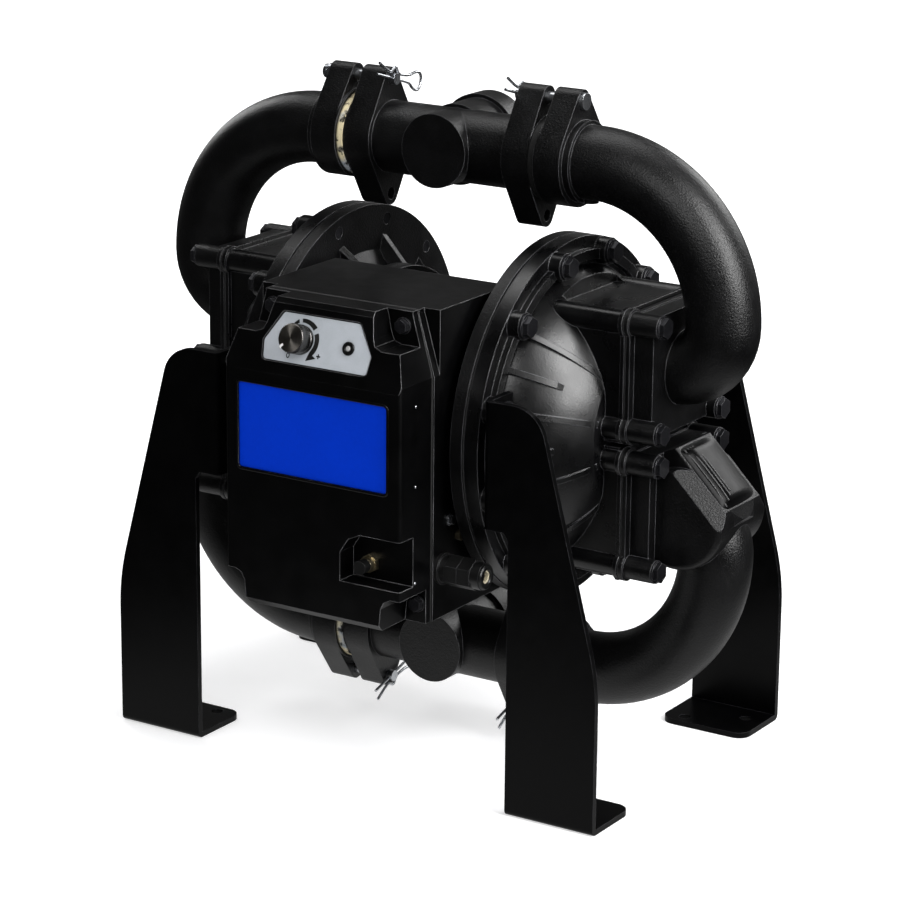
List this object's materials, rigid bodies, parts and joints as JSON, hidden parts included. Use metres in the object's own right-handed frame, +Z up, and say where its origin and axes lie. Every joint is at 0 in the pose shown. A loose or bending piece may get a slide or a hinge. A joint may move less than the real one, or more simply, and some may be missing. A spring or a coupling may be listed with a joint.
{
  "type": "electric double diaphragm pump",
  "caption": "Electric double diaphragm pump with black cast covers, elbow manifolds, a front control box and four bent sheet legs.",
  "frame": {"origin": "on the floor, at the centre of the foot holes", "axes": "+X along the diaphragm axis to the right seen from the control box, +Y to the back where the ports open, +Z up"},
  "size_m": [0.5684, 0.3787, 0.5723],
  "materials": {
    "cast_black": "satin black cast texture",
    "cover_black": "smooth satin black",
    "leg_black": "satin black powder coat",
    "bolt_black": "dark coated steel",
    "zinc": "bright zinc",
    "steel": "machined",
    "seal": "cream seal",
    "gasket": "black rubber",
    "membrane": "black rubber",
    "ball": "white polymer",
    "seat": "machined",
    "plate": "machined",
    "core": "laminated",
    "copper": "enamelled wire",
    "bronze": "plain bearing bronze",
    "brass": "brass",
    "panel": "silver panel",
    "blue": "plain blue",
    "knob": "spun metal",
    "plastic_black": "black plastic",
    "lens": "clear lens",
    "board": "circuit board green"
  },
  "bodies": {
    "pump_frame": {"center_housing": "cover_black", "air_cover_right": "cast_black", "air_cover_left": "cast_black", "fluid_cover_right": "cast_black", "fluid_cover_left": "cast_black", "diaphragm_right": "membrane", "diaphragm_left": "membrane", "air_cover_screws": "bolt_black", "cover_bolts": "bolt_black", "leg_bolts": "bolt_black", "stator_core": "core", "stator_windings": "copper", "rotor_bearings": "steel", "shaft_bushings": "bronze", "guide_pin": "steel", "valve_seats": "seat", "elbow_upper_right": "cast_black", "elbow_upper_left": "cast_black", "elbow_lower_right": "cast_black", "elbow_lower_left": "cast_black", "elbow_gaskets": "gasket", "elbow_bolts": "bolt_black", "outlet_tee": "cast_black", "inlet_tee": "cast_black", "manifold_seals": "seal", "clevis_pins": "zinc", "hairpin_cotters": "zinc", "leg_front_right": "leg_black", "leg_front_left": "leg_black", "leg_back_right": "leg_black", "leg_back_left": "leg_black", "control_cover": "cover_black", "control_cover_gasket": "gasket", "control_cover_bolts": "bolt_black", "cable_gland_body": "plastic_black", "cable_gland_nut": "plastic_black", "cable_gland_seal": "seal", "control_panel": "panel", "label_plate": "blue", "speed_sensor": "plastic_black", "status_light": "lens", "connector_socket": "brass", "connector_cap": "plastic_black", "ground_screw": "zinc", "side_plug": "brass", "control_board": "board", "board_standoffs": "brass"},
    "rotor_group": {"rotor": "core", "drive_nut": "bronze"},
    "shaft_group": {"drive_screw": "steel", "inner_plate_right": "plate", "inner_plate_left": "plate", "outer_plate_right": "plate", "outer_plate_left": "plate", "plate_bolts": "steel"},
    "outlet_ball_right_body": {"outlet_ball_right": "ball"},
    "outlet_ball_left_body": {"outlet_ball_left": "ball"},
    "inlet_ball_right_body": {"inlet_ball_right": "ball"},
    "inlet_ball_left_body": {"inlet_ball_left": "ball"},
    "knob": {"speed_knob": "knob"}
  },
  "joints": [
    {"name": "rotor_spin", "type": "hinge", "parent": "pump_frame", "child": "rotor_group", "pos_m": [0, 0, 0.2916], "axis": [1, 0, 0], "range_deg": [-396, 396]},
    {"name": "shaft_stroke", "type": "slide", "parent": "pump_frame", "child": "shaft_group", "axis": [1, 0, 0], "range_m": [-0.022, 0.022], "deforming": ["diaphragm_right", "diaphragm_left"]},
    {"name": "outlet_ball_right_lift", "type": "slide", "parent": "pump_frame", "child": "outlet_ball_right_body", "axis": [0, 0, 1], "range_m": [0, 0.008]},
    {"name": "outlet_ball_left_lift", "type": "slide", "parent": "pump_frame", "child": "outlet_ball_left_body", "axis": [0, 0, 1], "range_m": [0, 0.008]},
    {"name": "inlet_ball_right_lift", "type": "slide", "parent": "pump_frame", "child": "inlet_ball_right_body", "axis": [0, 0, 1], "range_m": [0, 0.008]},
    {"name": "inlet_ball_left_lift", "type": "slide", "parent": "pump_frame", "child": "inlet_ball_left_body", "axis": [0, 0, 1], "range_m": [0, 0.008]},
    {"name": "speed_knob_turn", "type": "hinge", "parent": "pump_frame", "child": "knob", "pos_m": [-0.0164, -0.20097, 0.3797], "axis": [0, 0.9511, -0.309], "range_deg": [0, 270]}
  ],
  "couplings": [
    {"joint": "shaft_stroke", "follows": "rotor_spin", "m_per_rad": 0.003183}
  ]
}
